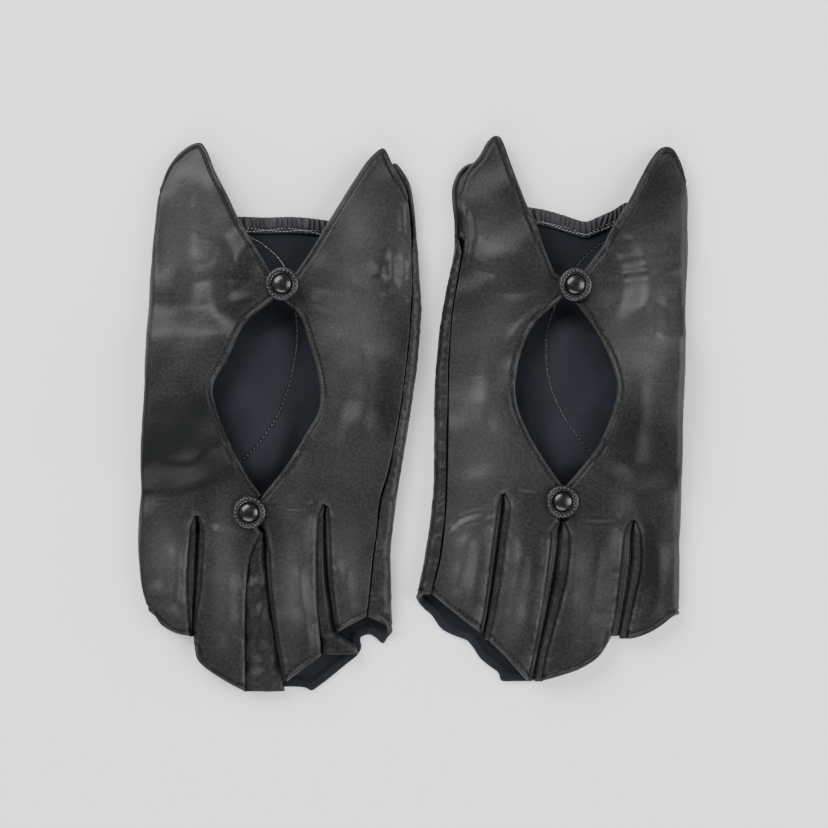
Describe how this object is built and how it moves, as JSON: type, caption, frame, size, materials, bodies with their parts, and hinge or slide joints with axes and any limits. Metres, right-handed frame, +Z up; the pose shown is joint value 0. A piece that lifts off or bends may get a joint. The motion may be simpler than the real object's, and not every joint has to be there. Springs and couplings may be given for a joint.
{
  "type": "leather driving gloves",
  "caption": "Pair of fingerless leather driving gloves with open diamond back, notched snap cuff, elastic wrist and folded-under thumbs, lying flat.",
  "frame": {"origin": "middle of the pair's footprint, on the table", "axes": "+Z up from the table, fingers toward -Y, cuffs toward +Y, left glove at -X, backs up"},
  "size_m": [0.1882, 0.1914, 0.0178],
  "materials": {
    "glove_leather": "soft semi-gloss black nappa leather, suede flesh side inside",
    "fourchette_leather": "thin black leather strips between the fingers",
    "elastic": "shirred black elastic band, matte",
    "cap_metal": "black enamelled cap rim with raised beading",
    "cap_dome": "high-gloss black dome",
    "snap_steel": "darkened snap hardware"
  },
  "bodies": {
    "left_glove": {"left_palm": "glove_leather", "left_thumb_base": "glove_leather", "left_back_index_side": "glove_leather", "left_back_little_side": "glove_leather", "left_wrist_elastic": "elastic", "left_knuckle_post": "snap_steel", "left_knuckle_ring": "cap_metal", "left_knuckle_dome": "cap_dome", "left_fourchette_index_middle": "fourchette_leather", "left_fourchette_middle_ring": "fourchette_leather", "left_fourchette_ring_little": "fourchette_leather"},
    "left_outer_flap": {"left_wrist_flap_index": "glove_leather", "left_snap_socket": "snap_steel", "left_snap_spring": "snap_steel", "left_snap_ring": "cap_metal", "left_snap_dome": "cap_dome"},
    "left_inner_flap": {"left_wrist_flap_little": "glove_leather", "left_snap_post": "snap_steel", "left_snap_stud": "snap_steel"},
    "left_thumb_tube": {"left_thumb": "glove_leather"},
    "right_glove": {"right_palm": "glove_leather", "right_thumb_base": "glove_leather", "right_back_index_side": "glove_leather", "right_back_little_side": "glove_leather", "right_wrist_elastic": "elastic", "right_knuckle_post": "snap_steel", "right_knuckle_ring": "cap_metal", "right_knuckle_dome": "cap_dome", "right_fourchette_index_middle": "fourchette_leather", "right_fourchette_middle_ring": "fourchette_leather", "right_fourchette_ring_little": "fourchette_leather"},
    "right_outer_flap": {"right_wrist_flap_index": "glove_leather", "right_snap_socket": "snap_steel", "right_snap_spring": "snap_steel", "right_snap_ring": "cap_metal", "right_snap_dome": "cap_dome"},
    "right_inner_flap": {"right_wrist_flap_little": "glove_leather", "right_snap_post": "snap_steel", "right_snap_stud": "snap_steel"},
    "right_thumb_tube": {"right_thumb": "glove_leather"}
  },
  "joints": [
    {"name": "gloves_apart", "type": "slide", "parent": "left_glove", "child": "right_glove", "axis": [0, 0, 1], "range_m": [0, 0.1]},
    {"name": "left_outer_flap_fold", "type": "hinge", "parent": "left_glove", "child": "left_outer_flap", "pos_m": [-0.06729, 0.00825, 0.01572], "axis": [0.3969, -0.9093, 0.1251], "range_deg": [0, 120]},
    {"name": "left_inner_flap_fold", "type": "hinge", "parent": "left_glove", "child": "left_inner_flap", "pos_m": [-0.03189, 0.00625, 0.01025], "axis": [0.5393, 0.841, -0.0437], "range_deg": [0, 72]},
    {"name": "left_thumb_fold", "type": "hinge", "parent": "left_glove", "child": "left_thumb_tube", "pos_m": [-0.08549, 0.00625, 0.0021], "axis": [0, 1, 0], "range_deg": [0, 180]},
    {"name": "right_outer_flap_fold", "type": "hinge", "parent": "right_glove", "child": "right_outer_flap", "pos_m": [0.06841, 0.00925, 0.01582], "axis": [0.4593, 0.8794, -0.1252], "range_deg": [0, 120]},
    {"name": "right_inner_flap_fold", "type": "hinge", "parent": "right_glove", "child": "right_inner_flap", "pos_m": [0.03581, 0.00825, 0.01012], "axis": [0.3873, -0.9207, 0.0479], "range_deg": [0, 72]},
    {"name": "right_thumb_fold", "type": "hinge", "parent": "right_glove", "child": "right_thumb_tube", "pos_m": [0.09021, 0.00625, 0.0021], "axis": [0, -1, 0], "range_deg": [0, 180]}
  ],
  "couplings": [
    {"joint": "left_inner_flap_fold", "follows": "left_outer_flap_fold", "ratio": 0.6},
    {"joint": "right_inner_flap_fold", "follows": "right_outer_flap_fold", "ratio": 0.6}
  ]
}
